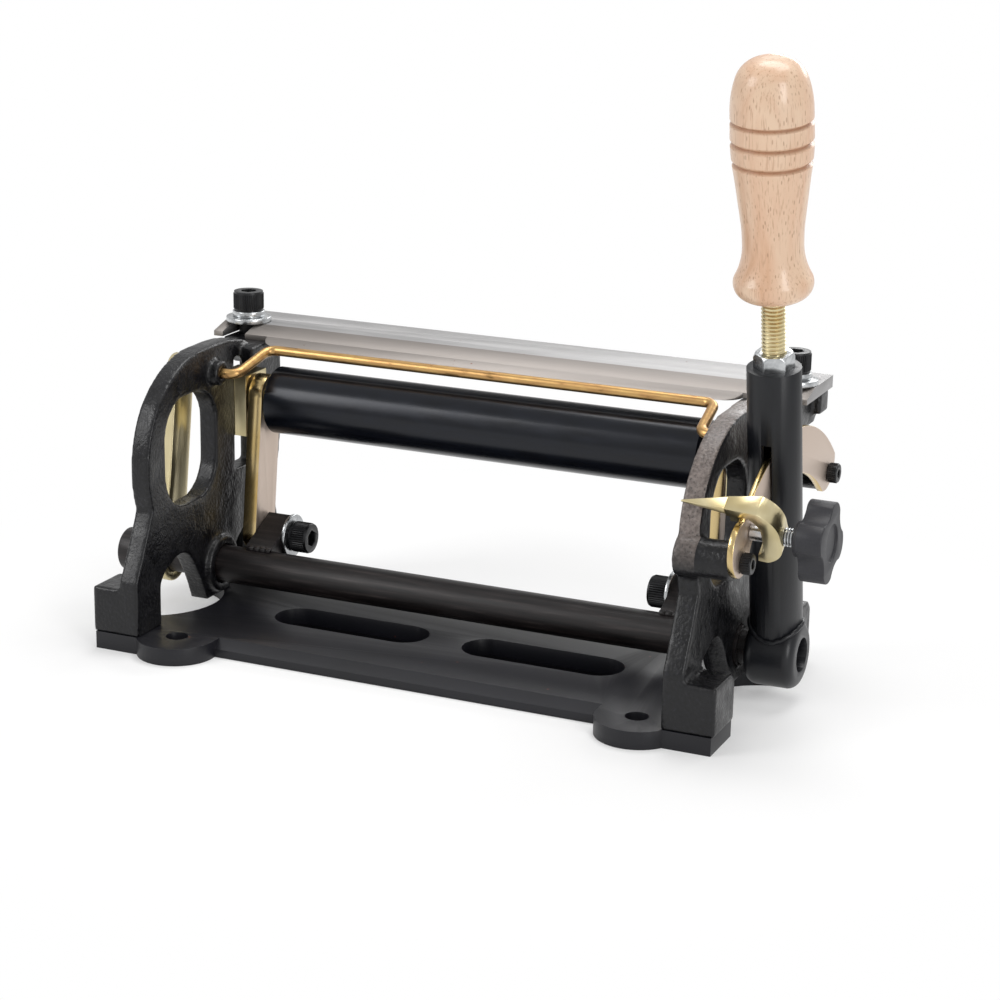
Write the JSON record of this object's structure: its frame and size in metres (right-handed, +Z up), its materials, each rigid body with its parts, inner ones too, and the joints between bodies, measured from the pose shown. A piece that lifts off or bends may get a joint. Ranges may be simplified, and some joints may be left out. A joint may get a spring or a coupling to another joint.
{
  "type": "bench leather splitter",
  "caption": "Bench leather splitter: a lever rocks a shaft that lifts a roller towards a fixed skiving blade, with a stop clamp on a curved plate.",
  "frame": {"origin": "centre of the four foot holes, on the underside of the base plate", "axes": "+X to the lever side, along the blade; +Y to the back; +Z up"},
  "size_m": [0.3098, 0.1332, 0.2407],
  "materials": {
    "cast_black": "semi-gloss black paint on a sand casting",
    "plate_black": "satin black paint",
    "black_oxide": "blackened turned steel",
    "dark_forged": "blackened steel with scale",
    "blade_steel": "ground steel",
    "bright_zinc": "bright zinc plate",
    "yellow_zinc": "yellow zinc plate",
    "lever_black": "satin black",
    "beech": "lacquered beech",
    "knob_plastic": "moulded, matte"
  },
  "bodies": {
    "stand": {"base_plate": "plate_black", "left_frame": "cast_black", "right_frame": "cast_black", "sector_plate": "yellow_zinc", "sector_screw_front": "black_oxide", "sector_screw_rear": "black_oxide", "blade_washer_left": "bright_zinc", "blade_washer_right": "bright_zinc", "lock_ring_left": "bright_zinc", "lock_ring_right": "bright_zinc", "blade_screw_left": "black_oxide", "blade_screw_right": "black_oxide", "foot_screw_left_front": "black_oxide", "foot_screw_left_rear": "black_oxide", "foot_screw_right_front": "black_oxide", "foot_screw_right_rear": "black_oxide"},
    "blade": {"blade": "blade_steel"},
    "rocker": {"rocker_shaft": "dark_forged", "lever_hub": "lever_black", "lever_tube": "lever_black", "handle_stud": "yellow_zinc", "jam_nut": "bright_zinc", "wooden_grip": "beech", "hub_set_screw": "black_oxide", "shaft_collar": "dark_forged", "side_arm": "yellow_zinc", "crank_arm_left": "dark_forged", "crank_arm_right": "dark_forged", "link_screw_left": "black_oxide", "link_screw_right": "black_oxide", "link_washer_left": "bright_zinc", "link_washer_right": "bright_zinc"},
    "carriage": {"guide_block_left": "yellow_zinc", "guide_block_right": "yellow_zinc"},
    "roller": {"roller": "black_oxide", "roller_axle": "black_oxide"},
    "link_left": {"link_bar_left": "yellow_zinc"},
    "link_right": {"link_bar_right": "yellow_zinc"},
    "stop": {"stop_clamp": "yellow_zinc", "pointer": "yellow_zinc"},
    "knob": {"clamp_knob": "knob_plastic", "clamp_stud": "bright_zinc"},
    "guard": {"guard_wire": "yellow_zinc"}
  },
  "joints": [
    {"name": "lever_swing", "type": "hinge", "parent": "stand", "child": "rocker", "pos_m": [0, 0.0062, 0.0198], "axis": [1, 0, 0], "range_deg": [-16, 9.5]},
    {"name": "roller_lift", "type": "slide", "parent": "stand", "child": "carriage", "axis": [0, 0, 1], "range_m": [-0.0046, 0.0028]},
    {"name": "link_left_turn", "type": "hinge", "parent": "carriage", "child": "link_left", "pos_m": [0, 0.029, 0.0845], "axis": [1, 0, 0], "range_deg": [-2, 3.3]},
    {"name": "link_right_turn", "type": "hinge", "parent": "carriage", "child": "link_right", "pos_m": [0, 0.029, 0.0845], "axis": [1, 0, 0], "range_deg": [-2, 3.3]},
    {"name": "roller_spin", "type": "hinge", "parent": "carriage", "child": "roller", "pos_m": [0, 0.029, 0.0845], "axis": [1, 0, 0], "continuous": true},
    {"name": "stop_slide", "type": "hinge", "parent": "stand", "child": "stop", "pos_m": [0, 0.0062, 0.0198], "axis": [1, 0, 0], "range_deg": [0, 4]},
    {"name": "knob_turn", "type": "hinge", "parent": "stop", "child": "knob", "pos_m": [0.14, -0.03591, 0.07734], "axis": [1, 0, 0], "range_deg": [0, 180]},
    {"name": "guard_swing", "type": "hinge", "parent": "stand", "child": "guard", "pos_m": [0, 0.004, 0.0993], "axis": [1, 0, 0], "range_deg": [0, 90]},
    {"name": "blade_set", "type": "slide", "parent": "stand", "child": "blade", "axis": [0, 1, 0], "range_m": [0, 0.006]}
  ],
  "couplings": [
    {"joint": "roller_lift", "follows": "lever_swing", "m_per_rad": 0.0159},
    {"joint": "link_left_turn", "follows": "lever_swing", "ratio": -0.19},
    {"joint": "link_right_turn", "follows": "lever_swing", "ratio": -0.19}
  ]
}
